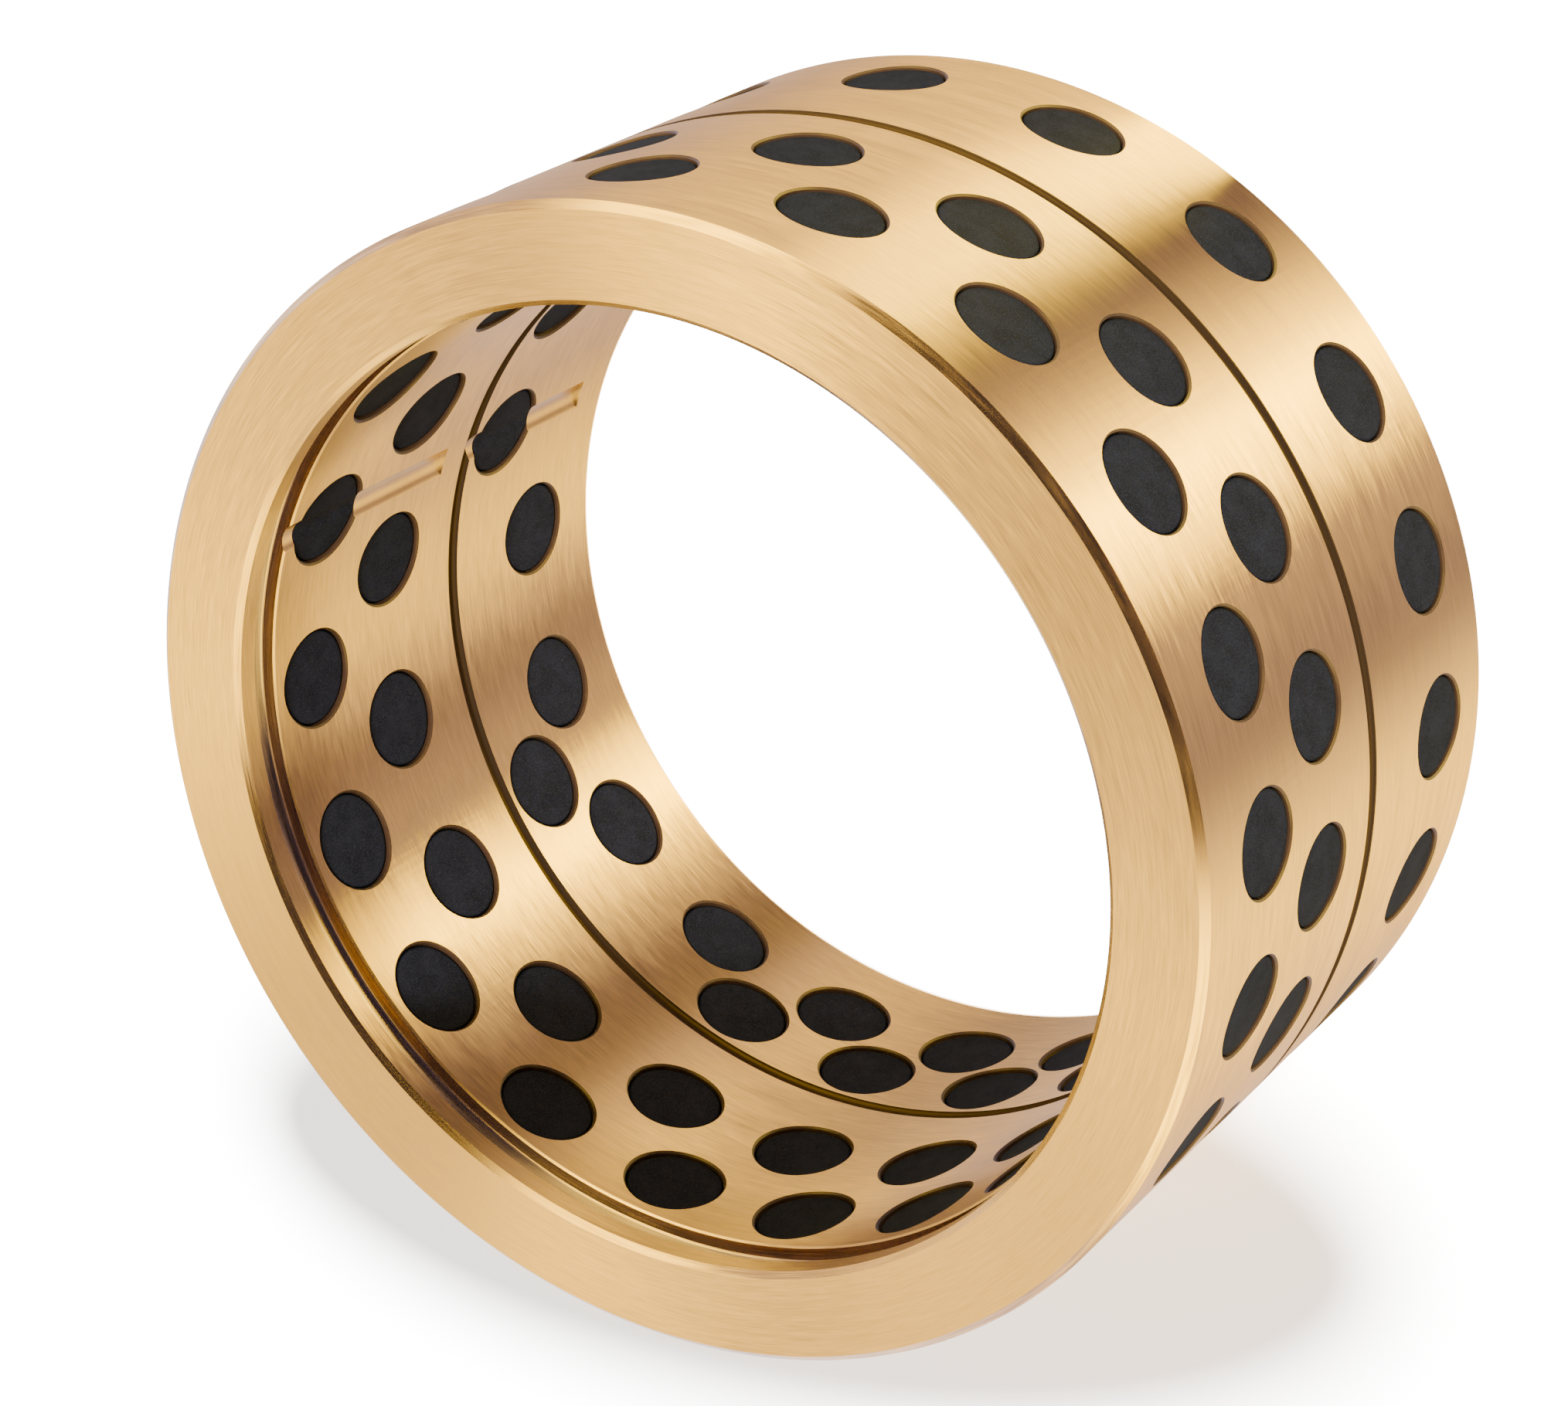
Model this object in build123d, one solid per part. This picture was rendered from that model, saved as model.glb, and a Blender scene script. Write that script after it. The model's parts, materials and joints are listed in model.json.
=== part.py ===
from build123d import *
import math
import os

# Graphite plugged bushing: one bronze sleeve, turned and drilled, with solid graphite plugs
# cemented in radial holes right through its wall. It stands on its plain back end.
# Frame: millimetres, bushing axis on +Z, z = 0 at the back end, angles from +X towards +Y.

# Sleeve
OUTSIDE_DIAMETER = 120.0
BORE_DIAMETER = 100.0
LENGTH = 64.0
OUTSIDE_CHAMFER = 0.8
FRONT_BORE_CHAMFER = 0.6
BACK_BORE_CHAMFER = 0.4

# Seal groove turned just inside the front end of the bore
SEAL_GROOVE_START = 2.8  # from the front face to its near wall
SEAL_GROOVE_WIDTH = 3.2
SEAL_GROOVE_DEPTH = 1.65
SEAL_GROOVE_FLOOR_FILLET = 0.3
SEAL_GROOVE_LEAD_CHAMFER = 0.35  # on its far edge, where the shaft's side begins

# Round-bottomed grease grooves: one round the outside, one round the bore, one along the bore
OUTER_GROOVE_HEIGHT = 27.4
OUTER_GROOVE_WIDTH = 1.4
OUTER_GROOVE_DEPTH = 0.7
BORE_GROOVE_HEIGHT = 26.4
BORE_GROOVE_WIDTH = 1.5
BORE_GROOVE_DEPTH = 0.7
GROOVE_SHOULDER_FILLET = 0.15
AXIAL_GROOVE_ANGLE = -33.4
AXIAL_GROOVE_WIDTH = 3.4
AXIAL_GROOVE_DEPTH = 0.65
AXIAL_GROOVE_BACK_END = 5.0
AXIAL_GROOVE_LAND = 3.8  # left uncut on the front side of the bore groove
AXIAL_GROOVE_RUN_OUT = 1.0  # how far it runs on into the seal groove

# Graphite plugs and their holes
PLUG_DIAMETER = 10.5
PLUG_RECESS_OUTSIDE = 0.3
PLUG_RECESS_IN_BORE = 0.4
PLUG_RIM_FILLET = 0.5
MOUTH_CHAMFER = 0.3  # countersink of each hole on the outside, the bore's mouths are sharp

# Rows of plugs, from the front end to the back. A plug's place in its row is counted in steps from
# the axial groove. The steps are widest beside that groove and closest on the far, loaded side.
STEPS_ROUND = 19
STEP_SWING = 8.0  # most that a plug is shifted towards the loaded side, in degrees
FRONT_ROW_HEIGHT = 51.2
FRONT_ROW_STEPS = list(range(STEPS_ROUND))
MIDDLE_ROW_HEIGHT = 38.5
MIDDLE_ROW_STEPS = [step + 0.5 for step in range(STEPS_ROUND)]
BACK_ROW_HEIGHT = 11.0
BACK_ROW_STEPS = [step + 0.8 for step in range(STEPS_ROUND - 2)]  # none beside the axial groove
FILL_ROW_HEIGHT = 19.6
FILL_ROW_STEPS = [-1, 0, 2.3, 4.3, 5.3, 6.3, 7.3, 8.3]

OUTSIDE_RADIUS = OUTSIDE_DIAMETER / 2
BORE_RADIUS = BORE_DIAMETER / 2
WALL = OUTSIDE_RADIUS - BORE_RADIUS
PLUG_RADIUS = PLUG_DIAMETER / 2
OVERRUN = 2.0  # how far each cutting tool passes the metal


def cutter_radius(width, depth):
    """Radius of the round tool that leaves a groove of this width and depth."""
    return (width**2 / 4 + depth**2) / (2 * depth)


def at_points(vertices, points):
    """The vertices that lie on any of these (radius, height) points of the half section."""
    return [
        vertex
        for vertex in vertices
        if any(math.hypot(vertex.X - r, vertex.Z - z) < 0.01 for r, z in points)
    ]


def turned_section():
    """Half section of the sleeve in the XZ plane, with every groove that is turned round it."""
    front_groove_wall = LENGTH - SEAL_GROOVE_START
    back_groove_wall = front_groove_wall - SEAL_GROOVE_WIDTH
    groove_floor = BORE_RADIUS + SEAL_GROOVE_DEPTH
    outer_cutter = cutter_radius(OUTER_GROOVE_WIDTH, OUTER_GROOVE_DEPTH)
    bore_cutter = cutter_radius(BORE_GROOVE_WIDTH, BORE_GROOVE_DEPTH)
    outer_cutter_centre = OUTSIDE_RADIUS - OUTER_GROOVE_DEPTH + outer_cutter
    bore_cutter_centre = BORE_RADIUS + BORE_GROOVE_DEPTH - bore_cutter

    with BuildSketch(Plane.XZ) as section:
        with Locations((BORE_RADIUS, 0)):
            Rectangle(WALL, LENGTH, align=(Align.MIN, Align.MIN))
        with Locations((BORE_RADIUS - OVERRUN, back_groove_wall)):
            Rectangle(
                OVERRUN + SEAL_GROOVE_DEPTH,
                SEAL_GROOVE_WIDTH,
                align=(Align.MIN, Align.MIN),
                mode=Mode.SUBTRACT,
            )
        with Locations((outer_cutter_centre, OUTER_GROOVE_HEIGHT)):
            Circle(outer_cutter, mode=Mode.SUBTRACT)
        with Locations((bore_cutter_centre, BORE_GROOVE_HEIGHT)):
            Circle(bore_cutter, mode=Mode.SUBTRACT)

        corners = section.vertices()
        outside_corners = [(OUTSIDE_RADIUS, 0), (OUTSIDE_RADIUS, LENGTH)]
        floor_corners = [(groove_floor, back_groove_wall), (groove_floor, front_groove_wall)]
        outer_shoulders = [
            (OUTSIDE_RADIUS, OUTER_GROOVE_HEIGHT + side * OUTER_GROOVE_WIDTH / 2) for side in (-1, 1)
        ]
        front_shoulder = [(BORE_RADIUS, BORE_GROOVE_HEIGHT + BORE_GROOVE_WIDTH / 2)]
        chamfer(at_points(corners, outside_corners), OUTSIDE_CHAMFER)
        chamfer(at_points(corners, [(BORE_RADIUS, LENGTH)]), FRONT_BORE_CHAMFER)
        chamfer(at_points(corners, [(BORE_RADIUS, 0)]), BACK_BORE_CHAMFER)
        chamfer(at_points(corners, [(BORE_RADIUS, back_groove_wall)]), SEAL_GROOVE_LEAD_CHAMFER)
        fillet(at_points(corners, floor_corners), SEAL_GROOVE_FLOOR_FILLET)
        fillet(at_points(corners, outer_shoulders + front_shoulder), GROOVE_SHOULDER_FILLET)
    return section.sketch


def radial(angle, height):
    """Place for something modelled along +Z, laid so that it points out of the wall at this angle."""
    return Pos(0, 0, height) * Rot(0, 0, angle) * Rot(0, 90, 0)


def hole_cutter():
    """Drill and countersink for one plug hole, along +Z from the bushing's axis."""
    drill_start = BORE_RADIUS - OVERRUN
    drill_end = OUTSIDE_RADIUS + OVERRUN
    mouth = OUTSIDE_RADIUS - MOUTH_CHAMFER
    with BuildSketch(Plane.XZ) as profile:
        with BuildLine():
            Polyline(
                (0, drill_start),
                (PLUG_RADIUS, drill_start),
                (PLUG_RADIUS, mouth),
                (PLUG_RADIUS + drill_end - mouth, drill_end),
                (0, drill_end),
                close=True,
            )
        make_face()
    return revolve(profile.sketch, Axis.Z)


def axial_groove_cutters():
    """The two runs of the groove along the bore: front seal groove to land, bore groove to back end."""
    cutter = cutter_radius(AXIAL_GROOVE_WIDTH, AXIAL_GROOVE_DEPTH)
    centre = BORE_RADIUS + AXIAL_GROOVE_DEPTH - cutter
    seal_groove_back = LENGTH - SEAL_GROOVE_START - SEAL_GROOVE_WIDTH
    front_run_start = BORE_GROOVE_HEIGHT + BORE_GROOVE_WIDTH / 2 + AXIAL_GROOVE_LAND
    front_run = (front_run_start, seal_groove_back + AXIAL_GROOVE_RUN_OUT)
    back_run = (AXIAL_GROOVE_BACK_END, BORE_GROOVE_HEIGHT)
    return [
        Rot(0, 0, AXIAL_GROOVE_ANGLE)
        * Pos(centre, 0, low)
        * Cylinder(cutter, high - low, align=(Align.CENTER, Align.CENTER, Align.MIN))
        for low, high in (front_run, back_run)
    ]


def plug_at(angle, height):
    """One graphite plug seated in its hole, cut by the axial groove where that crosses it."""
    plug = radial(angle, height) * PLUG
    beside_groove = abs(angle - AXIAL_GROOVE_ANGLE) * math.radians(BORE_RADIUS)
    if beside_groove < PLUG_RADIUS + AXIAL_GROOVE_WIDTH / 2:
        for cutter in GROOVE_CUTTERS:
            plug -= cutter
    return plug


def plug_blank():
    """A plug along +Z, its ends turned to the sleeve's curves and its rims rounded."""
    outer_end = OUTSIDE_RADIUS - PLUG_RECESS_OUTSIDE
    inner_end = BORE_RADIUS + PLUG_RECESS_IN_BORE
    rod = Cylinder(PLUG_RADIUS, OUTSIDE_RADIUS, align=(Align.CENTER, Align.CENTER, Align.MIN))
    lying = Rot(0, 90, 0)
    shell = Cylinder(outer_end, PLUG_DIAMETER * 2) - Cylinder(inner_end, PLUG_DIAMETER * 2)
    plug = rod & (lying * shell)
    plug = plug.solids().sort_by(Axis.Z)[-1]
    rims = [edge for edge in plug.edges() if edge.geom_type != GeomType.LINE]
    return fillet(rims, PLUG_RIM_FILLET)


def plug_angle(step):
    """Angle of the plug at this step from the axial groove, from -180 up to 180 degrees."""
    even = 360 / STEPS_ROUND * step
    angle = AXIAL_GROOVE_ANGLE + even + STEP_SWING * math.sin(math.radians(even))
    return (angle + 180.0) % 360.0 - 180.0


PLUG = plug_blank()
GROOVE_CUTTERS = axial_groove_cutters()

rows = {
    "front": (FRONT_ROW_HEIGHT, FRONT_ROW_STEPS),
    "middle": (MIDDLE_ROW_HEIGHT, MIDDLE_ROW_STEPS),
    "back": (BACK_ROW_HEIGHT, BACK_ROW_STEPS),
    "fill": (FILL_ROW_HEIGHT, FILL_ROW_STEPS),
}

drill = hole_cutter()
holes = [radial(plug_angle(step), height) * drill for height, steps in rows.values() for step in steps]
sleeve = revolve(turned_section(), Axis.Z)
sleeve = sleeve - holes - GROOVE_CUTTERS

os.makedirs("parts", exist_ok=True)
export_step(sleeve, "parts/bronze_sleeve.step")
for row_name in ("front", "middle", "back"):
    height, steps = rows[row_name]
    for number, step in enumerate(steps, start=1):
        plug = plug_at(plug_angle(step), height)
        export_step(plug, f"parts/graphite_plug_{row_name}_{number:02d}.step")
fill_plugs = [plug_at(plug_angle(step), FILL_ROW_HEIGHT) for step in FILL_ROW_STEPS]
export_step(Compound(children=fill_plugs), "parts/graphite_plugs_fill.step")
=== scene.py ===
import json
import math

import bpy
from mathutils import Matrix, Vector


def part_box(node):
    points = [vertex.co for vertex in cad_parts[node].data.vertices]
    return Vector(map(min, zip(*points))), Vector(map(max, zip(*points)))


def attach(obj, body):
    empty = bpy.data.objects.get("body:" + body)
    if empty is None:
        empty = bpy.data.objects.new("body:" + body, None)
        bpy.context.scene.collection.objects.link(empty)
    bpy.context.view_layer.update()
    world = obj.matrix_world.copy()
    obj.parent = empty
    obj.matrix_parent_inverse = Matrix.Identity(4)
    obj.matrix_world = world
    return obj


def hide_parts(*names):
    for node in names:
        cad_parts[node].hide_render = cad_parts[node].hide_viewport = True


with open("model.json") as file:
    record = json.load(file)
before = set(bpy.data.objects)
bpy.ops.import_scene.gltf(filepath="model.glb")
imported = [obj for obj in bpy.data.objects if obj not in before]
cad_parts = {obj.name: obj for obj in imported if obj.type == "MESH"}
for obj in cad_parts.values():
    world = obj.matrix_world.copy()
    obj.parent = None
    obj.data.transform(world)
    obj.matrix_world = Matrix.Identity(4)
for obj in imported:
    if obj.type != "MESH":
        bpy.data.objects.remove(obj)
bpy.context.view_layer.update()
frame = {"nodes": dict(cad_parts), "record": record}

# Graphite plugged bushing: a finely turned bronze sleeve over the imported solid, graphite plugs with
# their pressed grain, and the studio that shows them. Metres, bushing axis on +Z, back end at
# z = 0. Angles are in degrees, and azimuths run from +X towards +Y.

bl_info = {
    "name": "Graphite plugged bushing",
    "version": (1, 0, 0),
    "blender": (4, 5, 0),
    "location": "3D View > Sidebar > Bushing",
    "description": "Turns, drills and finishes a graphite plugged bronze bushing",
    "category": "Object",
}

MM = 0.001
SLEEVE_NODE = "bronze_sleeve"
PLUG_NODES = [name for name in frame["nodes"] if name.startswith("graphite_plug")]
SLEEVE_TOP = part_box(SLEEVE_NODE)[1]
MOUNTS = {mount["name"]: mount for mount in frame["record"]["mounts"]}


# ---------------------------------------------------------------- sizes and finishes


class SleeveSizes(bpy.types.PropertyGroup):
    """Sizes of the sleeve, and how finely it is made"""

    outside_radius: bpy.props.FloatProperty(
        name="Outside radius", description="Radius of the housing seat",
        default=SLEEVE_TOP[0], unit="LENGTH")
    bore_radius: bpy.props.FloatProperty(
        name="Bore radius", description="Radius of the bore that the shaft turns in",
        default=MOUNTS["shaft_bore"]["dims"]["r_mm"] * MM, unit="LENGTH")
    length: bpy.props.FloatProperty(
        name="Length", description="From the plain back end to the front end",
        default=SLEEVE_TOP[2], unit="LENGTH")
    turning_steps: bpy.props.IntProperty(
        name="Turning steps", description="Facets round the sleeve", default=360)
    drilling_steps: bpy.props.IntProperty(
        name="Drilling steps", description="Facets round each plug hole", default=64)


class Finishes(bpy.types.PropertyGroup):
    """Colours and sheen of the bronze and the graphite"""

    bronze: bpy.props.FloatVectorProperty(
        name="Bronze", description="Colour of the clean cut bronze", default=(0.86, 0.53, 0.2),
        subtype="COLOR", size=3, min=0, max=1)
    bronze_roughness: bpy.props.FloatProperty(
        name="Bronze roughness", description="Spread of the sheen over the tool marks",
        default=0.32, subtype="FACTOR", min=0, max=1)
    bright_roughness: bpy.props.FloatProperty(
        name="Bright roughness", description="Spread of the sheen on the chamfers and ring grooves",
        default=0.21, subtype="FACTOR", min=0, max=1)
    graphite: bpy.props.FloatVectorProperty(
        name="Graphite", description="Colour of the pressed graphite",
        default=(0.0095, 0.0101, 0.0138), subtype="COLOR", size=3, min=0, max=1)


class Stage(bpy.types.PropertyGroup):
    """The floor and the backdrop that the bushing stands on and before"""

    floor_size: bpy.props.FloatProperty(
        name="Floor size", description="Side of the square floor", default=6.0, unit="LENGTH")
    floor_white: bpy.props.FloatProperty(
        name="Floor white", description="How brightly the lit floor shows in the picture",
        default=7.3)
    backdrop_white: bpy.props.FloatProperty(
        name="Backdrop white", description="How brightly the backdrop shows in the picture",
        default=20.0)


# ---------------------------------------------------------------- modelling helpers

MERGE_GAP = 0.001 * MM  # points nearer to each other than this are one point
SLIVER = 0.0001 * MM  # edges shorter than this are closed up
SLACK = 0.01 * MM  # how far a point may be from the place that it is looked for


def pointing(azimuth, elevation):
    """The unit vector that points this way, from degrees."""
    turn, lift = math.radians(azimuth), math.radians(elevation)
    sideways = math.cos(lift)
    return Vector((sideways * math.cos(turn), sideways * math.sin(turn), math.sin(lift)))


def deselect_all():
    bpy.ops.object.select_all(action="DESELECT")


def make_active(piece):
    """Selects this object alone and makes it the active one."""
    deselect_all()
    piece.select_set(True)
    bpy.context.view_layer.objects.active = piece


def start_outline(name, point):
    """A new object in edit mode that holds one selected vertex, where an outline begins."""
    deselect_all()
    bpy.ops.mesh.primitive_plane_add(size=MM, location=(0, 0, 0))
    piece = bpy.context.object
    piece.name = piece.data.name = name
    bpy.ops.object.mode_set(mode="EDIT")
    bpy.ops.mesh.select_all(action="SELECT")
    bpy.ops.mesh.merge(type="CENTER")
    bpy.ops.transform.translate(value=(point[0], 0, point[1]))
    return piece


def run_to(here, point):
    """A straight run of the outline, from the selected vertex to (radius, height)."""
    step = (point[0] - here[0], 0, point[1] - here[1])
    bpy.ops.mesh.extrude_region_move(TRANSFORM_OT_translate={"value": step})
    return point


def arc_to(here, point, centre, steps):
    """A round run of the outline about a centre, the short way, to (radius, height)."""
    start = math.atan2(here[1] - centre[1], here[0] - centre[0])
    end = math.atan2(point[1] - centre[1], point[0] - centre[0])
    turn = (end - start + math.pi) % (2 * math.pi) - math.pi
    bpy.ops.mesh.spin(steps=steps, angle=turn, center=(centre[0], 0, centre[1]), axis=(0, 1, 0))
    return point


def merge_points():
    """Makes one point of each few that coincide, all over the mesh in edit mode."""
    bpy.ops.mesh.select_all(action="SELECT")
    bpy.ops.mesh.remove_doubles(threshold=MERGE_GAP)


def turn_outline(piece, steps, axis):
    """Closes an outline and spins it into a solid of revolution about the origin."""
    merge_points()
    bpy.ops.mesh.spin(steps=steps, angle=2 * math.pi, center=(0, 0, 0), axis=axis)
    merge_points()
    bpy.ops.mesh.dissolve_degenerate(threshold=SLIVER)
    bpy.ops.mesh.select_all(action="SELECT")
    bpy.ops.mesh.normals_make_consistent(inside=False)
    bpy.ops.object.mode_set(mode="OBJECT")
    return piece


def soften_corners(piece, corners, offset, segments=1):
    """Chamfers, or rounds with several segments, the outline's corners at these points."""
    bpy.ops.object.mode_set(mode="OBJECT")
    for vertex in piece.data.vertices:
        vertex.select = any(
            math.hypot(vertex.co.x - r, vertex.co.z - z) < SLACK for r, z in corners)
    for edge in piece.data.edges:
        edge.select = False
    bpy.ops.object.mode_set(mode="EDIT")
    bpy.ops.mesh.bevel(offset=offset, segments=segments, affect="VERTICES")


def cut(piece, cutter):
    """Takes the cutter's solid out of the piece, and deletes the cutter."""
    make_active(piece)
    bpy.ops.object.modifier_add(type="BOOLEAN")
    modifier = piece.modifiers[-1]
    modifier.operation = "DIFFERENCE"
    modifier.solver = "EXACT"
    modifier.object = cutter
    bpy.ops.object.modifier_apply(modifier=modifier.name)
    bpy.data.objects.remove(cutter)


def clear_slivers(piece):
    """Closes up the slivers that cutting leaves where two cuts almost meet."""
    make_active(piece)
    bpy.ops.object.mode_set(mode="EDIT")
    merge_points()
    bpy.ops.mesh.dissolve_degenerate(threshold=SLIVER)
    bpy.ops.object.mode_set(mode="OBJECT")


def joined(pieces, name):
    """These objects as one."""
    deselect_all()
    for piece in pieces:
        piece.select_set(True)
    bpy.context.view_layer.objects.active = pieces[0]
    bpy.ops.object.join()
    pieces[0].name = name
    return pieces[0]


# ---------------------------------------------------------------- shader helpers


def add_node(tree, kind, inputs=None, **settings):
    """A node with its settings and its unlinked input values."""
    node = tree.nodes.new(kind)
    for key, value in settings.items():
        setattr(node, key, value)
    for key, value in (inputs or {}).items():
        if hasattr(value, "node"):
            tree.links.new(value, node.inputs[key])
        else:
            node.inputs[key].default_value = value
    return node


def calc(tree, operation, first, second=0.0, third=0.0):
    """The result of one sum."""
    node = add_node(tree, "ShaderNodeMath", {0: first, 1: second, 2: third}, operation=operation)
    return node.outputs[0]


def dot(tree, first, second):
    """How far two directions point the same way."""
    node = add_node(tree, "ShaderNodeVectorMath", {0: first, 1: second}, operation="DOT_PRODUCT")
    return node.outputs["Value"]


def length_of(tree, x, y):
    """The length of a vector with these two parts."""
    x_squared, y_squared = calc(tree, "MULTIPLY", x, x), calc(tree, "MULTIPLY", y, y)
    return calc(tree, "SQRT", calc(tree, "ADD", x_squared, y_squared))


def spread(tree, value, low, high, to_low, to_high, smooth=False):
    """A value moved from one range to another."""
    node = add_node(
        tree, "ShaderNodeMapRange",
        {"Value": value, "From Min": low, "From Max": high, "To Min": to_low, "To Max": to_high})
    if smooth:
        node.interpolation_type = "SMOOTHSTEP"
    return node.outputs["Result"]


def blend_colors(tree, factor, first, second, mode="MIX"):
    """Two colours mixed by a factor."""
    node = add_node(
        tree, "ShaderNodeMix", {0: factor, 6: first, 7: second}, data_type="RGBA", blend_type=mode)
    return node.outputs[2]


def blend_values(tree, factor, first, second):
    """Two plain values mixed by a factor."""
    node = add_node(tree, "ShaderNodeMix", {0: factor, 2: first, 3: second}, data_type="FLOAT")
    return node.outputs[0]


def grey(level):
    """The colour that has this level in each of its parts."""
    return (level,) * 3 + (1,)


def new_group(name, inputs, outputs):
    """A shader node group with float inputs (name, default) and outputs (name, kind of socket)."""
    group = bpy.data.node_groups.new(name, "ShaderNodeTree")
    for label, default in inputs:
        socket = group.interface.new_socket(
            name=label, in_out="INPUT", socket_type="NodeSocketFloat")
        socket.default_value = default
    for label, kind in outputs:
        group.interface.new_socket(name=label, in_out="OUTPUT", socket_type="NodeSocket" + kind)
    return group, group.nodes.new("NodeGroupInput"), group.nodes.new("NodeGroupOutput")


def use_group(tree, group, **values):
    """The group placed in a material, with its own values. Their names have _ for a space."""
    node = add_node(tree, "ShaderNodeGroup", node_tree=group)
    for key, value in values.items():
        node.inputs[key.replace("_", " ")].default_value = value
    return node


def new_material(name):
    """A material with only its output, and its tree."""
    material = bpy.data.materials.new(name)
    material.use_nodes = True
    tree = material.node_tree
    tree.nodes.clear()
    return material, tree, tree.nodes.new("ShaderNodeOutputMaterial")


def principled(tree, output, inputs):
    """A Principled surface with these inputs, set as the material's surface."""
    shader = add_node(tree, "ShaderNodeBsdfPrincipled", inputs)
    tree.links.new(shader.outputs[0], output.inputs[0])


# ---------------------------------------------------------------- finishes

FACE_PITCH = 1.37  # how much closer the tool marks lie on the faces than on the walls
FINE_LEAN = 0.6  # the fine marks' part in how each mark leans, the broad marks have the rest
FINE_TONE = 0.65  # and their part in its tone
TONE_RANGE = (0.34, 0.66)  # the noise that runs from a metal's dark share to its light share
NOISE_RANGE = (0.3, 0.7)  # the noise that runs from a finish's lowest roughness to its highest
BUMP_HEIGHT = 0.04 * MM  # of the tool marks and of the graphite's grain


def tool_marks_group():
    """Fine lines left by turning: long round the axis, thin along and across it."""
    group, given, result = new_group(
        "turned tool marks",
        [("Mark length", 0.006), ("Mark width", 0.0002), ("Radius", 0.055), ("Sway", 0.04)],
        [("Fine", "Float"), ("Broad", "Float"), ("Normal", "Vector")])
    place = add_node(group, "ShaderNodeTexCoord").outputs["Object"]
    x, y, z = add_node(group, "ShaderNodeSeparateXYZ", {0: place}).outputs
    radius = length_of(group, x, y)
    round_x = calc(group, "DIVIDE", x, radius)
    round_y = calc(group, "DIVIDE", y, radius)
    round_scale = calc(group, "DIVIDE", given.outputs["Radius"], given.outputs["Mark length"])
    # The turning cut steps along the axis on the walls and across it on the faces.
    across = calc(group, "MULTIPLY_ADD", radius, FACE_PITCH, z)

    def marks(length_factor, width_factor, detail):
        """Noise that is drawn out round the axis."""
        scale = calc(group, "DIVIDE", round_scale, length_factor)
        width = calc(group, "MULTIPLY", given.outputs["Mark width"], width_factor)
        vector = add_node(
            group, "ShaderNodeCombineXYZ",
            {0: calc(group, "MULTIPLY", round_x, scale), 1: calc(group, "MULTIPLY", round_y, scale),
             2: calc(group, "DIVIDE", across, width)})
        noise = add_node(
            group, "ShaderNodeTexNoise",
            {"Vector": vector.outputs[0], "Scale": 1.0, "Detail": detail, "Roughness": 0.6})
        return noise.outputs[0]

    fine = marks(length_factor=1.0, width_factor=1.0, detail=1.0)
    broad = marks(length_factor=4.0, width_factor=6.0, detail=3.0)
    # Each mark leans a little round the axis, so the edge of a highlight is combed into streaks.
    # The noise has its middle at a half.
    broad_lean = calc(group, "MULTIPLY", broad, 1 - FINE_LEAN)
    lean = calc(group, "MULTIPLY_ADD", fine, FINE_LEAN, broad_lean)
    lean = calc(group, "MULTIPLY", calc(group, "SUBTRACT", lean, 0.5), given.outputs["Sway"])
    against_y = calc(group, "MULTIPLY", round_y, -1.0)
    tangent = add_node(group, "ShaderNodeCombineXYZ", {0: against_y, 1: round_x, 2: 0.0})
    aside = add_node(
        group, "ShaderNodeVectorMath", {0: tangent.outputs[0], "Scale": lean}, operation="SCALE")
    normal = add_node(group, "ShaderNodeNewGeometry").outputs["Normal"]
    leaning = add_node(
        group, "ShaderNodeVectorMath", {0: normal, 1: aside.outputs[0]}, operation="ADD")
    leaning = add_node(
        group, "ShaderNodeVectorMath", {0: leaning.outputs[0]}, operation="NORMALIZE")

    group.links.new(fine, result.inputs["Fine"])
    group.links.new(broad, result.inputs["Broad"])
    group.links.new(leaning.outputs[0], result.inputs["Normal"])
    return group


def grain_group():
    """The grain of metal or graphite: a soft cloud and a fine speckle."""
    group, given, result = new_group(
        "grain", [("Speckle size", 0.0003), ("Cloud size", 0.004)],
        [("Speckle", "Float"), ("Cloud", "Float")])
    place = add_node(group, "ShaderNodeTexCoord").outputs["Object"]
    for label, size, detail in (("Speckle", "Speckle size", 2.0), ("Cloud", "Cloud size", 4.0)):
        scale = calc(group, "DIVIDE", 1.0, given.outputs[size])
        noise = add_node(
            group, "ShaderNodeTexNoise",
            {"Vector": place, "Scale": scale, "Detail": detail, "Roughness": 0.6})
        group.links.new(noise.outputs[0], result.inputs[label])
    return group


def share_of(color, shares):
    """A colour with each of its parts cut to its own share, or all of them to the same one."""
    if isinstance(shares, (int, float)):
        shares = (shares,) * 3
    return tuple(min(part * share, 1) for part, share in zip(color, shares)) + (1,)


def streaked_color(tree, marks, color, low, high):
    """A metal colour that runs between two shares of itself along the tool marks."""
    broad_tone = calc(tree, "MULTIPLY", marks.outputs["Broad"], 1 - FINE_TONE)
    tone = calc(tree, "MULTIPLY_ADD", marks.outputs["Fine"], FINE_TONE, broad_tone)
    dark, light = share_of(color, low), share_of(color, high)
    return blend_colors(tree, spread(tree, tone, *TONE_RANGE, 0, 1), dark, light)


def marked_roughness(tree, mark, roughness, swing):
    """A roughness that swings by this share of itself along the tool marks."""
    return spread(tree, mark, *NOISE_RANGE, roughness * (1 - swing), roughness * (1 + swing))


# Painted shade: the bore's wall is painted darker and browner towards its front end.
BORE_EDGE = 0.02 * MM  # beyond the bore's radius, still its wall
BORE_SHADE_HEIGHTS = (46 * MM, 58 * MM)  # the heights where that begins and is complete
BORE_SHADE_SHARE = (0.65, 0.63, 0.68, 1)


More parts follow.
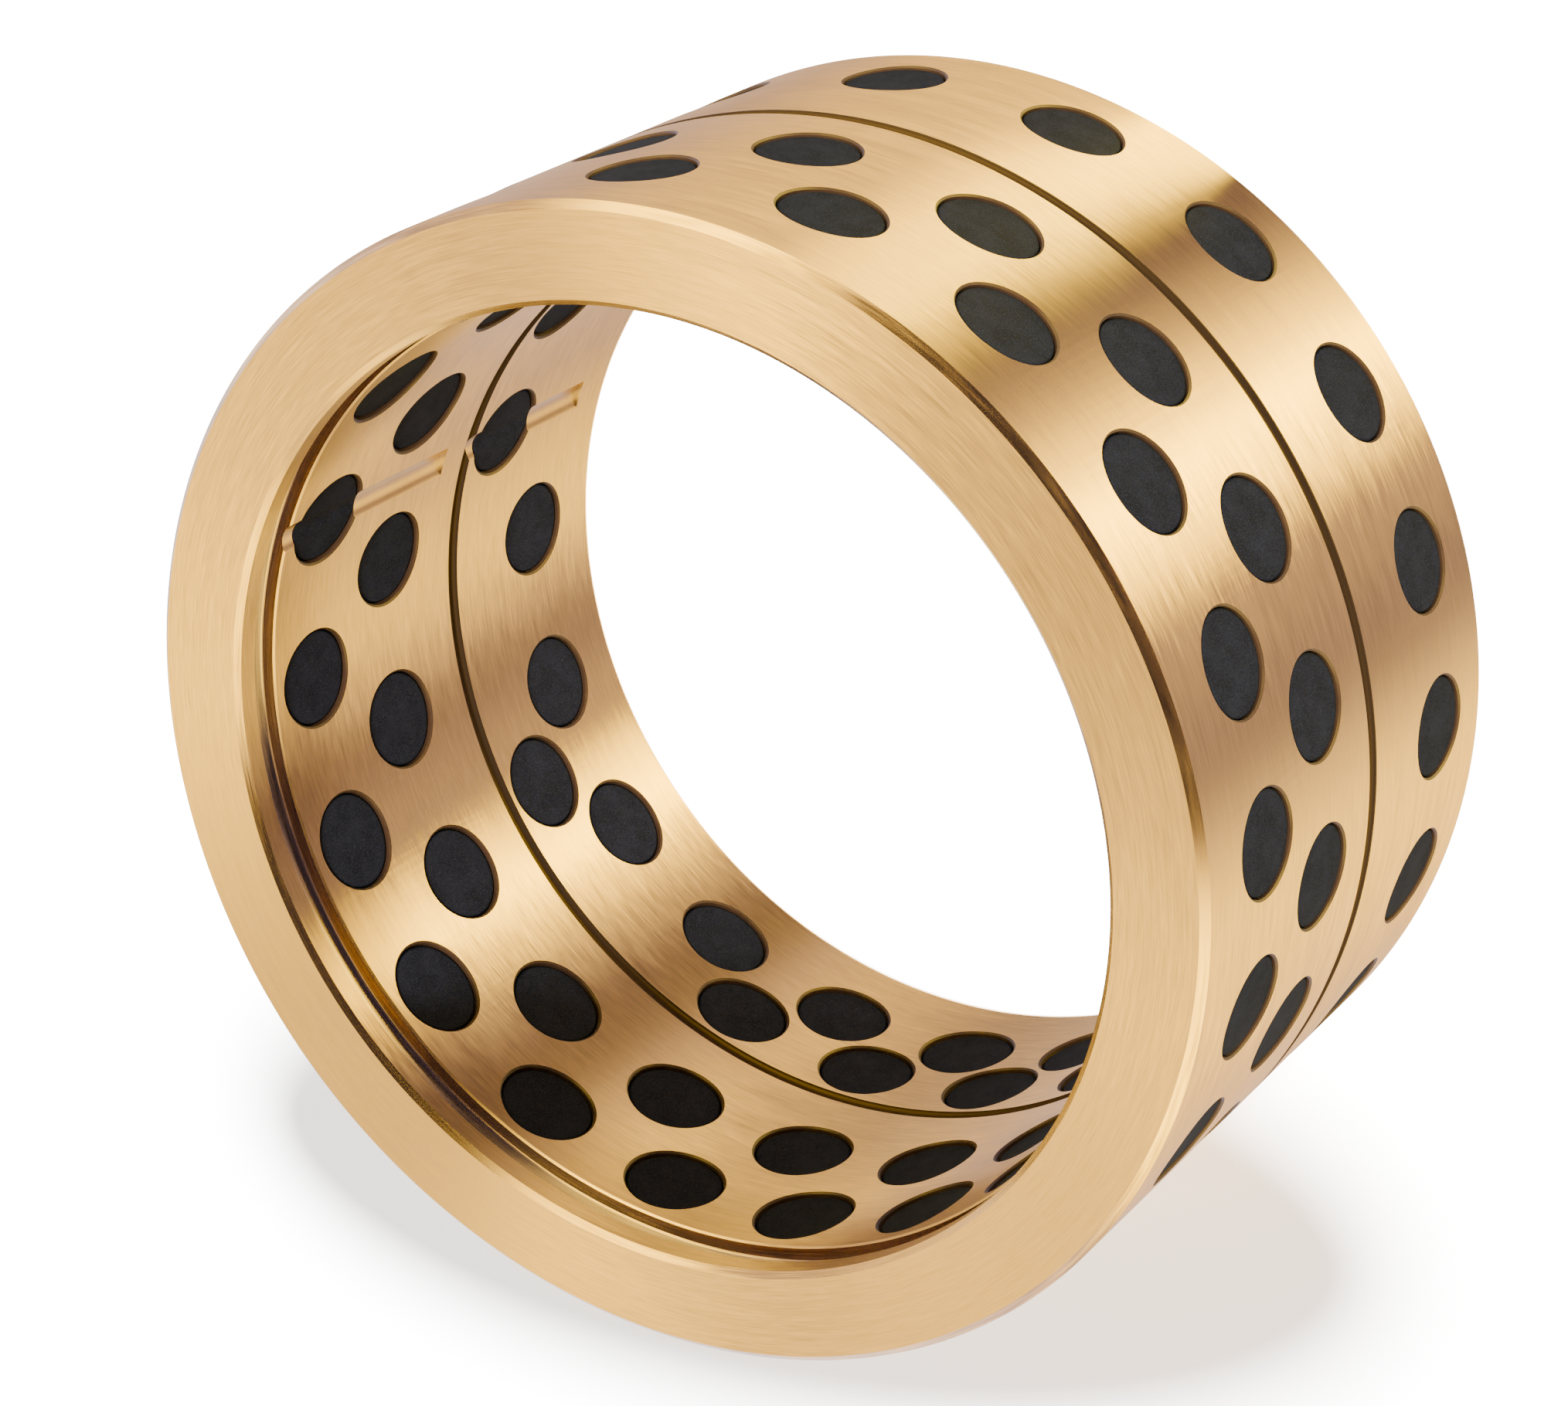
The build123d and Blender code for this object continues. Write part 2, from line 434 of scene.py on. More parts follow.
def turned_bronze(finishes, tool_marks, bore_radius):
    """Turned bronze: a satin sheen drawn across the tool marks."""
    material, tree, output = new_material("turned bronze")
    marks = use_group(tree, tool_marks, Mark_length=0.0035, Mark_width=0.00013, Sway=0.16)
    color = streaked_color(tree, marks, finishes.bronze, low=0.8, high=1.12)
    place = add_node(tree, "ShaderNodeTexCoord").outputs["Object"]
    x, y, z = add_node(tree, "ShaderNodeSeparateXYZ", {0: place}).outputs
    # Painted shade: the bore's wall darkens and browns towards the front end.
    in_bore = calc(tree, "LESS_THAN", length_of(tree, x, y), bore_radius + BORE_EDGE)
    bore_shade = calc(tree, "MULTIPLY", in_bore, spread(tree, z, *BORE_SHADE_HEIGHTS, 0, 1, smooth=True))
    brown = blend_colors(tree, 1.0, color, BORE_SHADE_SHARE, "MULTIPLY")
    color = blend_colors(tree, bore_shade, color, brown)
    rough = marked_roughness(tree, marks.outputs["Broad"], finishes.bronze_roughness, swing=0.06)
    bump = add_node(
        tree, "ShaderNodeBump",
        {"Height": marks.outputs["Fine"], "Strength": 0.1, "Distance": BUMP_HEIGHT,
         "Normal": marks.outputs["Normal"]})
    tangent = add_node(tree, "ShaderNodeTangent", direction_type="RADIAL", axis="Z")
    principled(tree, output, {
        "Base Color": color, "Metallic": 1.0, "Roughness": rough, "Anisotropic": 1.0,
        "Anisotropic Rotation": 0.25, "Tangent": tangent.outputs[0], "Normal": bump.outputs[0]})
    return material


BRIGHT_SHARE = 1.0
# Painted shade: the seal groove's colour is cut darker and cooler than the bronze.
SEAL_GROOVE_SHADE_SHARE = (0.56, 0.58, 0.98)


def formed_bronze(finishes, tool_marks, name, shares):
    """Form cut bronze, smoother than the turned walls: the chamfers and the seal groove."""
    material, tree, output = new_material(name)
    marks = use_group(tree, tool_marks, Mark_length=0.006, Mark_width=0.0001, Sway=0.14)
    color = streaked_color(tree, marks, share_of(finishes.bronze, shares)[:3], low=0.6, high=1.16)
    rough = marked_roughness(tree, marks.outputs["Fine"], finishes.bright_roughness, swing=0.2)
    principled(tree, output, {
        "Base Color": color, "Metallic": 1.0, "Roughness": rough,
        "Normal": marks.outputs["Normal"]})
    return material


# Painted shade: the ring grooves' bronze is cut to a small dark share of itself.
RING_GROOVE_SHADE_SHARE = (0.06, 0.055, 0.07)


def grooved_bronze(finishes):
    """Grooved bronze: the two ring grooves, painted evenly dark as painted shade."""
    material, tree, output = new_material("grooved bronze")
    principled(tree, output, {
        "Base Color": share_of(finishes.bronze, RING_GROOVE_SHADE_SHARE), "Metallic": 0.5, "Roughness": 0.4,
        "Specular IOR Level": 0.1})
    return material


def clouded_color(tree, cloud, color, shares):
    """A colour that runs between two shares of itself over the clouds of its grain."""
    dark, light = [share_of(color, share) for share in shares]
    return blend_colors(tree, cloud, dark, light)


MILLED_SHARES = ((0.6, 0.58, 0.55), (0.95, 0.93, 0.9))


def milled_bronze(finishes, grain):
    """Milled bronze: the groove along the bore."""
    material, tree, output = new_material("milled bronze")
    clouds = use_group(tree, grain, Cloud_size=0.006)
    color = clouded_color(tree, clouds.outputs["Cloud"], finishes.bronze, MILLED_SHARES)
    principled(tree, output, {"Base Color": color, "Metallic": 1.0, "Roughness": 0.3})
    return material


# Painted shade: the hole walls are painted a dark brown, a small share of the bronze, in clouds.
HOLE_WALL_SHADE_SHARES = ((0.045, 0.038, 0.06), (0.11, 0.092, 0.12))


def drilled_bronze(finishes, grain):
    """Drilled bronze: the walls of the plug holes, painted dark brown as painted shade."""
    material, tree, output = new_material("drilled bronze")
    clouds = use_group(tree, grain, Cloud_size=0.003)
    color = clouded_color(tree, clouds.outputs["Cloud"], finishes.bronze, HOLE_WALL_SHADE_SHARES)
    principled(tree, output, {"Base Color": color, "Metallic": 0.3, "Roughness": 0.5})
    return material


CLOUD_SHARES = (0.75, 1.35)  # of the graphite's colour, in its dark and its light clouds
CLOUD_RANGE = (0.35, 0.65)  # the noise that runs from the one to the other
SPECK_SHARE = 3.0
SPECK_RANGE = (0.45, 0.75)
GRAPHITE_ROUGHNESS = (0.6, 0.8)
RIM_SHADE_REACH = 0.8 * MM  # how near the hole's wall the graphite is painted darker, as painted shade
RIM_SHADE_RANGE = (0.45, 0.85)  # how open the gap is where the painted rim shade begins to lighten and ends
RIM_SHADE_SHARE = 0.15


def pressed_graphite(finishes, grain):
    """Pressed graphite: matte charcoal with soft clouds, fine grain and painted shade at its rim in
    its hole.
    """
    material, tree, output = new_material("pressed graphite")
    grains = use_group(tree, grain, Speckle_size=0.00014, Cloud_size=0.0028)
    cloud = spread(tree, grains.outputs["Cloud"], *CLOUD_RANGE, 0, 1)
    color = clouded_color(tree, cloud, finishes.graphite, CLOUD_SHARES)
    specks = spread(tree, grains.outputs["Speckle"], *SPECK_RANGE, 0, 1)
    color = blend_colors(tree, specks, color, share_of(finishes.graphite, SPECK_SHARE))
    # Painted shade: the graphite is painted towards black where the hole's wall closes round it.
    gap = add_node(tree, "ShaderNodeAmbientOcclusion", {"Distance": RIM_SHADE_REACH}, samples=8)
    rim_shade = spread(tree, gap.outputs["AO"], *RIM_SHADE_RANGE, RIM_SHADE_SHARE, 1, smooth=True)
    color = blend_colors(tree, rim_shade, (0, 0, 0, 1), color)
    rough = spread(tree, grains.outputs["Speckle"], *NOISE_RANGE, *GRAPHITE_ROUGHNESS)
    bump = add_node(
        tree, "ShaderNodeBump",
        {"Height": grains.outputs["Speckle"], "Strength": 0.35, "Distance": BUMP_HEIGHT})
    principled(tree, output, {
        "Base Color": color, "Roughness": rough, "Specular IOR Level": 0.03,
        "Normal": bump.outputs[0]})
    return material


# ---------------------------------------------------------------- the sleeve

OUTSIDE_CHAMFER = 0.8 * MM
FRONT_BORE_CHAMFER = 0.6 * MM
BACK_BORE_CHAMFER = 0.4 * MM

SEAL_GROOVE_START = 2.8 * MM  # from the front face to its near wall
SEAL_GROOVE_WIDTH = 3.2 * MM
SEAL_GROOVE_DEPTH = 1.65 * MM
SEAL_GROOVE_FLOOR_FILLET = 0.3 * MM
SEAL_GROOVE_LEAD_CHAMFER = 0.2 * MM  # on its far edge

OUTER_GROOVE_HEIGHT = 27.4 * MM
OUTER_GROOVE_WIDTH = 1.4 * MM
OUTER_GROOVE_DEPTH = 0.7 * MM
BORE_GROOVE_HEIGHT = 26.4 * MM
BORE_GROOVE_WIDTH = 1.5 * MM
BORE_GROOVE_DEPTH = 0.7 * MM
GROOVE_SHOULDER_FILLET = 0.15 * MM

AXIAL_GROOVE_ANGLE = -33.4
AXIAL_GROOVE_WIDTH = 3.4 * MM
AXIAL_GROOVE_DEPTH = 0.65 * MM
AXIAL_GROOVE_BACK_END = 5.0 * MM
AXIAL_GROOVE_LAND = 3.8 * MM  # left uncut on the front side of the bore groove
AXIAL_GROOVE_RUN_OUT = 1.0 * MM  # how far it runs on into the seal groove

PLUG_RADIUS = 5.25 * MM
EDGE_BREAK = 0.2 * MM  # at both mouths of a plug hole, even all round
OVERRUN = 2.0 * MM  # how far the drill passes the metal

# Facets of the round cuts, and the steepest turn between two facets that still shades smooth.
RING_GROOVE_STEPS = 16
AXIAL_GROOVE_TOOL_STEPS = 96
FLOOR_FILLET_STEPS = 4
SHOULDER_FILLET_STEPS = 3
SMOOTH_ANGLE = 12

# A plug's place in its row is counted in steps from the axial groove.
STEPS_ROUND = 19
STEP_SWING = 8.0  # most that a plug is shifted away from the axial groove
ROWS = (
    (51.2 * MM, range(STEPS_ROUND)),
    (38.5 * MM, [step + 0.5 for step in range(STEPS_ROUND)]),
    (11.0 * MM, [step + 0.8 for step in range(STEPS_ROUND - 2)]),
    (19.6 * MM, [-1, 0, 2.3, 4.3, 5.3, 6.3, 7.3, 8.3]),
)


def groove_tool_radius(width, depth):
    """Radius of the round tool that leaves a groove of this width and depth."""
    return (width**2 / 4 + depth**2) / (2 * depth)


def plug_places():
    """(angle, height) of every plug hole, with the steps widest beside the axial groove."""
    places = []
    for height, steps in ROWS:
        for step in steps:
            even = 360 / STEPS_ROUND * step
            angle = AXIAL_GROOVE_ANGLE + even + STEP_SWING * math.sin(math.radians(even))
            places.append((angle, height))
    return places


def turned_sleeve(sizes):
    """The sleeve as it leaves the lathe: its half section with the turned grooves, spun round."""
    outside, bore, length = sizes.outside_radius, sizes.bore_radius, sizes.length
    groove_front = length - SEAL_GROOVE_START
    groove_back = groove_front - SEAL_GROOVE_WIDTH
    floor = bore + SEAL_GROOVE_DEPTH
    outer_tool = groove_tool_radius(OUTER_GROOVE_WIDTH, OUTER_GROOVE_DEPTH)
    bore_tool = groove_tool_radius(BORE_GROOVE_WIDTH, BORE_GROOVE_DEPTH)
    outer_centre = (outside - OUTER_GROOVE_DEPTH + outer_tool, OUTER_GROOVE_HEIGHT)
    bore_centre = (bore + BORE_GROOVE_DEPTH - bore_tool, BORE_GROOVE_HEIGHT)
    outer_lips = [
        (outside, OUTER_GROOVE_HEIGHT + side * OUTER_GROOVE_WIDTH / 2) for side in (-1, 1)]
    bore_lips = [(bore, BORE_GROOVE_HEIGHT + side * BORE_GROOVE_WIDTH / 2) for side in (1, -1)]

    start = (bore, 0)
    piece = start_outline("turned_sleeve", start)
    here = run_to(start, (outside, 0))
    here = run_to(here, outer_lips[0])
    here = arc_to(here, outer_lips[1], outer_centre, RING_GROOVE_STEPS)
    here = run_to(here, (outside, length))
    here = run_to(here, (bore, length))
    here = run_to(here, (bore, groove_front))
    here = run_to(here, (floor, groove_front))
    here = run_to(here, (floor, groove_back))
    here = run_to(here, (bore, groove_back))
    here = run_to(here, bore_lips[0])
    here = arc_to(here, bore_lips[1], bore_centre, RING_GROOVE_STEPS)
    run_to(here, start)
    merge_points()

    floor_corners = [(floor, groove_front), (floor, groove_back)]
    soften_corners(piece, [(outside, 0), (outside, length)], OUTSIDE_CHAMFER)
    soften_corners(piece, [(bore, length)], FRONT_BORE_CHAMFER)
    soften_corners(piece, [(bore, 0)], BACK_BORE_CHAMFER)
    soften_corners(piece, [(bore, groove_back)], SEAL_GROOVE_LEAD_CHAMFER)
    soften_corners(piece, floor_corners, SEAL_GROOVE_FLOOR_FILLET, FLOOR_FILLET_STEPS)
    soften_corners(piece, outer_lips + bore_lips[:1], GROOVE_SHOULDER_FILLET, SHOULDER_FILLET_STEPS)
    return turn_outline(piece, sizes.turning_steps, (0, 0, 1))


def plug_drill(sizes):
    """The drill of one plug hole with its edge breaks, along +X from the bushing's axis."""
    bore, outside = sizes.bore_radius, sizes.outside_radius
    wide = PLUG_RADIUS + EDGE_BREAK + OVERRUN
    start = (bore - OVERRUN, 0)
    piece = start_outline("drill", start)
    here = run_to(start, (bore - OVERRUN, wide))
    here = run_to(here, (bore + EDGE_BREAK, PLUG_RADIUS))
    here = run_to(here, (outside - EDGE_BREAK, PLUG_RADIUS))
    here = run_to(here, (outside + OVERRUN, wide))
    run_to(here, (outside + OVERRUN, 0))
    turn_outline(piece, sizes.drilling_steps, (1, 0, 0))
    # The edge breaks follow the curve of the wall, so they are as wide on every side of the hole.
    for vertex in piece.data.vertices:
        wall = outside if vertex.co.x > (bore + outside) / 2 else bore
        vertex.co.x += math.sqrt(wall**2 - vertex.co.y**2) - wall
    return piece


def drill_all(sizes):
    """One cutter that holds the drill at every plug hole."""
    drill = plug_drill(sizes)
    drills = []
    for angle, height in plug_places():
        copy = drill.copy()
        copy.data = drill.data.copy()
        turn = Matrix.Rotation(math.radians(angle), 4, "Z")
        copy.data.transform(Matrix.Translation((0, 0, height)) @ turn)
        bpy.context.scene.collection.objects.link(copy)
        drills.append(copy)
    bpy.data.objects.remove(drill)
    return joined(drills, "drills")


def axial_groove_tool(sizes):
    """The round tool in both runs of the groove along the bore."""
    tool = groove_tool_radius(AXIAL_GROOVE_WIDTH, AXIAL_GROOVE_DEPTH)
    reach = sizes.bore_radius + AXIAL_GROOVE_DEPTH - tool
    angle = math.radians(AXIAL_GROOVE_ANGLE)
    seal_groove_back = sizes.length - SEAL_GROOVE_START - SEAL_GROOVE_WIDTH
    front_run_start = BORE_GROOVE_HEIGHT + BORE_GROOVE_WIDTH / 2 + AXIAL_GROOVE_LAND
    front_run = (front_run_start, seal_groove_back + AXIAL_GROOVE_RUN_OUT)
    back_run = (AXIAL_GROOVE_BACK_END, BORE_GROOVE_HEIGHT)
    tools = []
    for low, high in (front_run, back_run):
        deselect_all()
        bpy.ops.mesh.primitive_cylinder_add(
            vertices=AXIAL_GROOVE_TOOL_STEPS, radius=tool, depth=high - low,
            location=(reach * math.cos(angle), reach * math.sin(angle), (low + high) / 2),
            rotation=(0, 0, angle))
        bpy.ops.object.transform_apply()
        tools.append(bpy.context.object)
    return joined(tools, "groove_tool")


# The finishes, by their place among the sleeve's materials.
TURNED, BRIGHT, SEAL_GROOVED, GROOVED, MILLED, DRILLED = range(6)
TURNED_SKEW = math.sin(math.radians(1.5))  # most that a turned face leans round the axis
RING_GROOVES_REACH = 2.1 * MM  # from the bore groove's height, far enough to hold both ring grooves
FACING_AXIS = -0.5  # a milled face looks back at the axis at least this straight


def finish_of(face, corners, sizes):
    """The finish that the cut behind a face leaves."""
    centre = face.center
    radii = [math.hypot(corner.x, corner.y) for corner in corners]
    for wall in (sizes.outside_radius, sizes.bore_radius):
        if all(abs(radius - wall) < SLACK for radius in radii):
            return TURNED
    for end in (0, sizes.length):
        if all(abs(corner.z - end) < SLACK for corner in corners):
            return TURNED
    radial = Vector((centre.x, centre.y, 0)).normalized()
    sideways = Vector((-radial.y, radial.x, 0))
    if abs(face.normal.dot(sideways)) < TURNED_SKEW:
        groove_back = sizes.length - SEAL_GROOVE_START - SEAL_GROOVE_WIDTH
        half_lead = SEAL_GROOVE_LEAD_CHAMFER / 2
        if abs(centre.z - groove_back + half_lead) < half_lead - SLACK:
            return TURNED
        if groove_back - SLACK < centre.z < groove_back + SEAL_GROOVE_WIDTH + SLACK:
            return SEAL_GROOVED
        return GROOVED if abs(centre.z - BORE_GROOVE_HEIGHT) < RING_GROOVES_REACH else BRIGHT
    groove_way = pointing(AXIAL_GROOVE_ANGLE, 0)
    aside = (centre - groove_way * centre.dot(groove_way)) * Vector((1, 1, 0))
    in_groove = centre.dot(groove_way) > 0 and aside.length < AXIAL_GROOVE_WIDTH / 2 + SLACK
    shallow = max(radii) < sizes.bore_radius + AXIAL_GROOVE_DEPTH + SLACK
    facing = face.normal.dot(groove_way) < FACING_AXIS
    return MILLED if in_groove and shallow and facing else DRILLED


class BUSHING_OT_make_sleeve(bpy.types.Operator):
    """Turns, drills, grooves and finishes the bronze sleeve"""

    bl_idname = "bushing.make_sleeve"
    bl_label = "Make the sleeve"

    def execute(self, context):
        sizes, finishes = context.scene.bushing_sizes, context.scene.bushing_finishes
        sleeve = turned_sleeve(sizes)
        cut(sleeve, drill_all(sizes))
        cut(sleeve, axial_groove_tool(sizes))
        clear_slivers(sleeve)
        bpy.ops.object.shade_smooth_by_angle(angle=math.radians(SMOOTH_ANGLE))
        marks, grain = bpy.data.node_groups["turned tool marks"], bpy.data.node_groups["grain"]
        sleeve.data.materials.clear()
        for material in (
                turned_bronze(finishes, marks, sizes.bore_radius),
                formed_bronze(finishes, marks, "bright bronze", BRIGHT_SHARE),
                formed_bronze(finishes, marks, "seal groove bronze", SEAL_GROOVE_SHADE_SHARE),
                grooved_bronze(finishes),
                milled_bronze(finishes, grain),
                drilled_bronze(finishes, grain)):
            sleeve.data.materials.append(material)
        for face in sleeve.data.polygons:
            corners = [sleeve.data.vertices[index].co for index in face.vertices]
            face.material_index = finish_of(face, corners, sizes)
        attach(sleeve, "root")
        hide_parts(SLEEVE_NODE)
        return {"FINISHED"}


# ---------------------------------------------------------------- the plugs


class BUSHING_OT_finish_plugs(bpy.types.Operator):
    """Gives every graphite plug its pressed graphite finish"""

    bl_idname = "bushing.finish_plugs"
    bl_label = "Finish the plugs"

    def execute(self, context):
        graphite = pressed_graphite(context.scene.bushing_finishes, bpy.data.node_groups["grain"])
        for name in PLUG_NODES:
            for slot in frame["nodes"][name].material_slots:
                slot.material = graphite
        return {"FINISHED"}


# ---------------------------------------------------------------- the stage

CAMERA_PLACE = (-0.22394, -0.10833, 0.34947)
CAMERA_TURN = (-23.5448, 31.4244, 165.6662)
CAMERA_LENS = 89.81
CAMERA_CLIP = 0.01

# Brightness of the studio's flats round the bushing: (azimuth, level).
LOW_FLATS = (
    (0, 1.15), (45, 1.5), (60, 1.5), (80, 0.95), (102, 1.2), (124, 2.9),
    (138, 3.2), (150, 1.15), (158, 0.14), (170, 0.65), (176, 1.15), (184, 0.68),
    (192, 7.5), (204, 16.0), (214, 5.8), (224, 1.6), (235, 0.24), (248, 0.06),
    (258, 0.8), (270, 1.2), (284, 0.85), (298, 0.45), (316, 0.5), (340, 1.3),
)
HIGH_FLATS = (
    (0, 2.4), (14, 7.8), (25, 3.6), (42, 1.2), (62, 4.5), (88, 1.2), (112, 6.0), (138, 6.0),
    (154, 0.12), (252, 0.12), (264, 6.5), (290, 6.5), (304, 0.9), (345, 1.4),
)
# Heights are those of the mirrored direction, from -1 straight down to 1 straight up.
LOW_RISE = ((-0.95, 0.55), (-0.3, 1.6))  # (height, share): the lower flats brighten with height
FALL_OFF = ((0.2, 1.4), (0.95, 0.3))  # and the upper flats dim with height
HORIZON = (-0.05, 0.15)  # the lower flats pass into the upper ones between these heights

# The flats are amber: green is a steady share of red, and blue stops growing on the bright ones.
GREEN_SHARE = 0.82
BLUE_SHARE = 1.25
MOST_BLUE = 0.85
BLUE_EASE = 0.3  # how gently blue comes to its most
COOL_SIDE = 20.0  # azimuth of the side whose lower flats have more green and blue
COOL_BLUE = 2.4
COOL_GREEN = 0.18
TWICE_MIRRORED = 1.5  # a glossy depth past this is at least the second mirroring
SECOND_MIRRORING = (1.0, 1.6, 3.5, 1)

SOFT_BOXES = ((-80, 57, 10), (-45, 58, 8))  # above the bushing: (azimuth, elevation, level)
SOFT_BOX_EDGE = (8, 16)  # angles from a box's middle where its edge begins and ends

GLINT_TURNS = (-134.0, -124.0)  # azimuths of the outside wall between which the fan is mirrored
GLINT_REACH = 100 * MM
GLINT_DEPTH = 4 * MM  # below the floor's level
GLINT_LEVEL = 11.0

WHITE = (1, 1, 1, 1)
SKY_LIGHT = 0.3  # of the plain light on all that isn't mirrored
FLOOR_TONE = 0.8  # how much light the floor gives back to the bushing
KEY_AZIMUTH = -150.0
KEY_ELEVATION = 63.5
KEY_WIDTH = 14.0
KEY_POWER = 8.0

FLAG_SHADOW = (44.5 * MM, 73.5 * MM)  # middle of the flag's shadow on the floor
FLAG_HALF_SIZES = (84 * MM, 34.5 * MM)
FLAG_TURN = -4.0
FLAG_HEIGHT = 70 * MM
FLAG_STEPS = 64


def ring_of_flats(tree, turn, flats):
    """The level of the flat at this turn, which runs from 0 to 1 round the bushing."""
    ramp = add_node(tree, "ShaderNodeValToRGB", {0: turn})
    brightest = max(level for _, level in flats)
    points = ramp.color_ramp.elements
    for index, (angle, level) in enumerate(flats + ((360, flats[0][1]),)):
        # A new ramp has two points of its own.
        point = points[index] if index < 2 else points.new(angle / 360)
        point.position = angle / 360
        point.color = grey(level / brightest)
    ramp.color_ramp.interpolation = "EASE"
    return calc(tree, "MULTIPLY", ramp.outputs[0], brightest)


def flats_by_height(tree, z, level, shares):
    """A ring's level, changed with height between two shares of itself."""
    (low_height, low_share), (top_height, top_share) = shares
    share = spread(tree, z, low_height, top_height, low_share, top_share)
    return calc(tree, "MULTIPLY", level, share)


def studio_surround(stage):
    """The studio that the metal mirrors: rings of flats below and above the horizon."""
    world = bpy.data.worlds.new("studio")
    bpy.context.scene.world = world
    world.use_nodes = True
    world.cycles.sampling_method = "NONE"
    tree = world.node_tree
    tree.nodes.clear()
    direction = add_node(tree, "ShaderNodeTexCoord").outputs["Generated"]
    x, y, z = add_node(tree, "ShaderNodeSeparateXYZ", {0: direction}).outputs
    turn = calc(tree, "DIVIDE", calc(tree, "ARCTAN2", y, x), 2 * math.pi)
    turn = calc(tree, "FRACT", calc(tree, "ADD", turn, 1))
    low = flats_by_height(tree, z, ring_of_flats(tree, turn, LOW_FLATS), LOW_RISE)
    high = flats_by_height(tree, z, ring_of_flats(tree, turn, HIGH_FLATS), FALL_OFF)
    edge_start, edge_end = [math.cos(math.radians(angle)) for angle in SOFT_BOX_EDGE]
    for azimuth, elevation, box_level in SOFT_BOXES:
        toward = dot(tree, direction, pointing(azimuth, elevation))
        box = spread(tree, toward, edge_end, edge_start, 0, box_level, smooth=True)
        high = calc(tree, "ADD", high, box)
    height = spread(tree, z, *HORIZON, 0, 1, smooth=True)
    level = blend_values(tree, height, low, high)

    # Below the horizon the light from one side is cooler.
    flat_reach = calc(tree, "SQRT", calc(tree, "SUBTRACT", 1, calc(tree, "MULTIPLY", z, z)))
    cool_side = calc(tree, "DIVIDE", dot(tree, direction, pointing(COOL_SIDE, 0)), flat_reach)
    cool_side = calc(tree, "MAXIMUM", cool_side, 0)
    cool = calc(tree, "MULTIPLY", cool_side, calc(tree, "SUBTRACT", 1, height))
    green = calc(tree, "MULTIPLY", level, calc(tree, "MULTIPLY_ADD", cool, COOL_GREEN, GREEN_SHARE))
    most_blue = calc(tree, "MULTIPLY_ADD", cool, COOL_BLUE, MOST_BLUE)
    blue = calc(tree, "SMOOTH_MIN", calc(tree, "MULTIPLY", level, BLUE_SHARE), most_blue, BLUE_EASE)
    amber = add_node(tree, "ShaderNodeCombineColor", {0: level, 1: green, 2: blue}).outputs[0]

    # A groove that mirrors itself keeps the hue that it has in its first mirroring.
    path = add_node(tree, "ShaderNodeLightPath")
    again = calc(tree, "GREATER_THAN", path.outputs["Glossy Depth"], TWICE_MIRRORED)
    kept_hue = blend_colors(tree, again, WHITE, SECOND_MIRRORING)
    amber = blend_colors(tree, 1.0, amber, kept_hue, "MULTIPLY")
    mirrored = add_node(tree, "ShaderNodeBackground", {0: amber, 1: 1.0})
    plain = spread(tree, path.outputs["Is Camera Ray"], 0, 1, SKY_LIGHT, stage.backdrop_white)
    around = add_node(tree, "ShaderNodeBackground", {0: WHITE, 1: plain})
    choice = add_node(
        tree, "ShaderNodeMixShader",
        {0: path.outputs["Is Glossy Ray"], 1: around.outputs[0], 2: mirrored.outputs[0]})
    add_node(tree, "ShaderNodeOutputWorld", {0: choice.outputs[0]})


def pale_floor(stage, bore_radius):
    """A plain pale floor that shows white and keeps the soft shadow, with painted light that glows
    white inside the bore where shade would fall.
    """
    deselect_all()
    bpy.ops.mesh.primitive_plane_add(size=stage.floor_size, location=(0, 0, 0))
    floor = bpy.context.object
    floor.name = floor.data.name = "studio_floor"
    material, tree, output = new_material("studio floor")
    seen = add_node(tree, "ShaderNodeLightPath").outputs["Is Camera Ray"]
    color = blend_colors(tree, seen, grey(FLOOR_TONE), grey(stage.floor_white))
    shaded = add_node(tree, "ShaderNodeBsdfDiffuse", {"Color": color})
    # Painted light: inside the bore the floor glows white for the camera, over the shade of the
    # sleeve.
    glowing = add_node(
        tree, "ShaderNodeEmission", {"Color": WHITE, "Strength": stage.backdrop_white})
    place = add_node(tree, "ShaderNodeTexCoord").outputs["Object"]
    reach = add_node(tree, "ShaderNodeVectorMath", {0: place}, operation="LENGTH").outputs["Value"]
    inside = calc(tree, "MULTIPLY", calc(tree, "LESS_THAN", reach, bore_radius), seen)
    shader = add_node(
        tree, "ShaderNodeMixShader", {0: inside, 1: shaded.outputs[0], 2: glowing.outputs[0]})
    tree.links.new(shader.outputs[0], output.inputs[0])
    floor.data.materials.append(material)
    floor.visible_glossy = False
    floor.visible_shadow = False


def table_glint(outside_radius):
    """A fan of light just under the floor's level that only the outside wall mirrors."""
    near, far = [], []
    for turn in GLINT_TURNS:
        radial = pointing(turn, 0)
        wall = radial * outside_radius
        seen = (wall - Vector(CAMERA_PLACE)) * Vector((1, 1, 0))
        away = (seen - 2 * seen.dot(radial) * radial).normalized()
        near.append(wall)
        far.append(wall + away * GLINT_REACH)
    deselect_all()
    bpy.ops.mesh.primitive_plane_add(size=1, location=(0, 0, 0))
    card = bpy.context.object
    card.name = card.data.name = "table_glint"
    for vertex, corner in zip(card.data.vertices, near + far):
        vertex.co = corner - Vector((0, 0, GLINT_DEPTH))
    material, tree, output = new_material("table glint")
    glow = add_node(
        tree, "ShaderNodeEmission",
        {"Color": (1, GREEN_SHARE, MOST_BLUE / GLINT_LEVEL, 1), "Strength": GLINT_LEVEL})
    tree.links.new(glow.outputs[0], output.inputs[0])
    card.data.materials.append(material)
    card.visible_camera = card.visible_diffuse = card.visible_shadow = False


